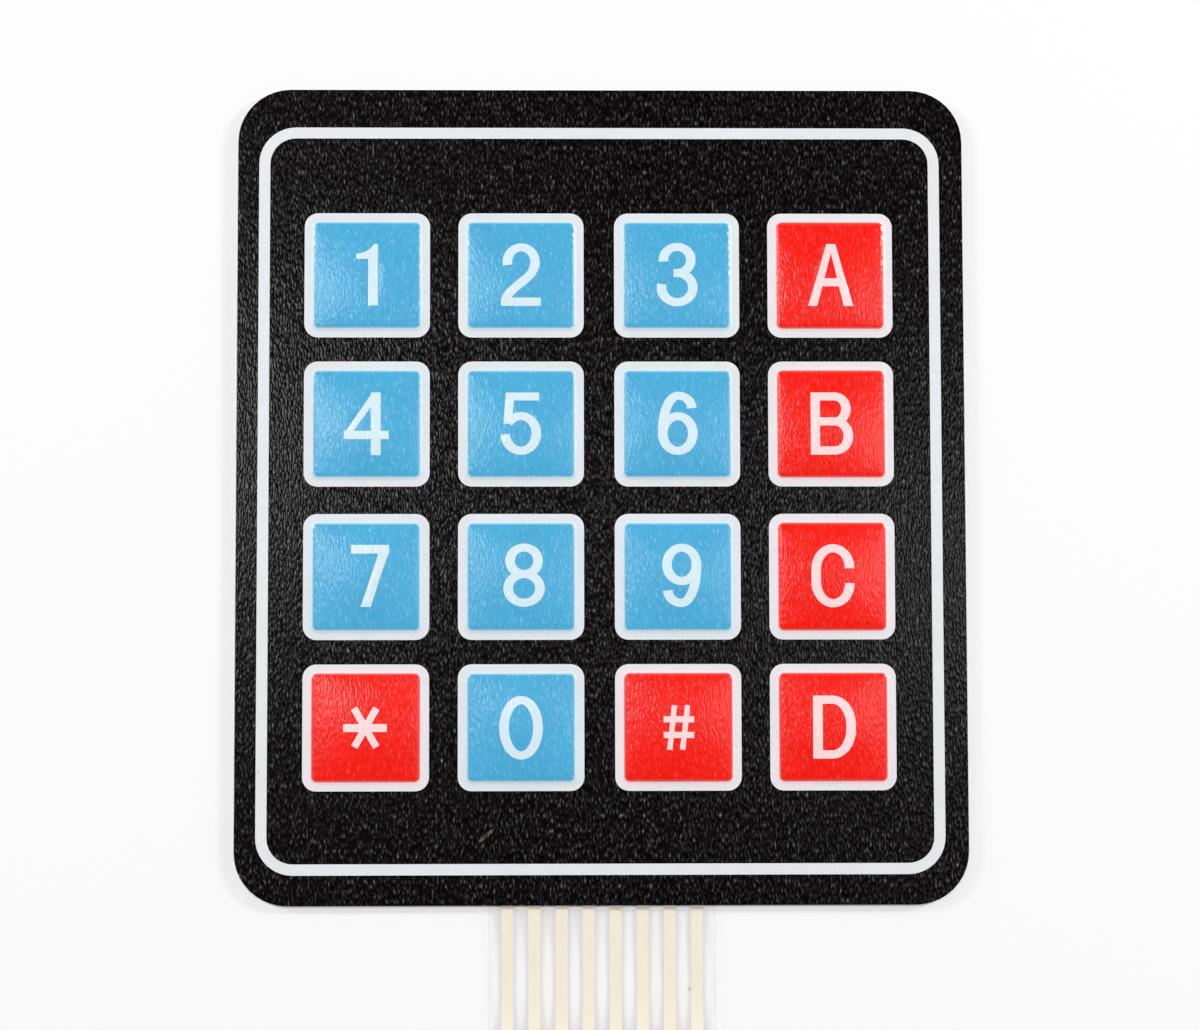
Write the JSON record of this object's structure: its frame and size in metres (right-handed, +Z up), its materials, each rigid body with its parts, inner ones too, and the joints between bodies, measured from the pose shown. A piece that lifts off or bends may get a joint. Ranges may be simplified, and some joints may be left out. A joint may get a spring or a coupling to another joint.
{
  "type": "membrane keypad",
  "caption": "Flat membrane keypad: embossed blue and red keys in white borders on a black textured face, with a clear flat tail that ends in a female pin socket",
  "frame": {"origin": "the middle of the pad's back, where the release liner rests on the table", "axes": "+Z up out of the keys, +Y to the top row of keys, the tail toward -Y, +X to the right of the keys"},
  "size_m": [0.0694, 0.1625, 0.0033],
  "materials": {
    "black_film": "matte, fine texture",
    "white_ink": "matte, fine texture",
    "blue_ink": "matte, fine texture",
    "red_ink": "matte, fine texture",
    "adhesive": "tacky",
    "clear_film": "clear, glossy",
    "spacer_film": "matte",
    "conductor_ink": "printed, matte",
    "liner_paper": "smooth, coated",
    "housing_plastic": "moulded, satin",
    "contact_metal": "tinned"
  },
  "bodies": {
    "root": {"graphic_overlay": "black_film", "white_print": "white_ink", "blue_print": "blue_ink", "red_print": "red_ink", "overlay_adhesive": "adhesive", "upper_circuit_film": "clear_film", "row_conductor_1": "conductor_ink", "row_conductor_2": "conductor_ink", "row_conductor_3": "conductor_ink", "row_conductor_4": "conductor_ink", "spacer": "spacer_film", "column_conductor_1": "conductor_ink", "column_conductor_2": "conductor_ink", "column_conductor_3": "conductor_ink", "column_conductor_4": "conductor_ink", "lower_circuit_film": "clear_film", "rear_adhesive": "adhesive", "release_liner": "liner_paper", "connector_housing": "housing_plastic", "contact_1": "contact_metal", "contact_2": "contact_metal", "contact_3": "contact_metal", "contact_4": "contact_metal", "contact_5": "contact_metal", "contact_6": "contact_metal", "contact_7": "contact_metal", "contact_8": "contact_metal"}
  },
  "joints": []
}
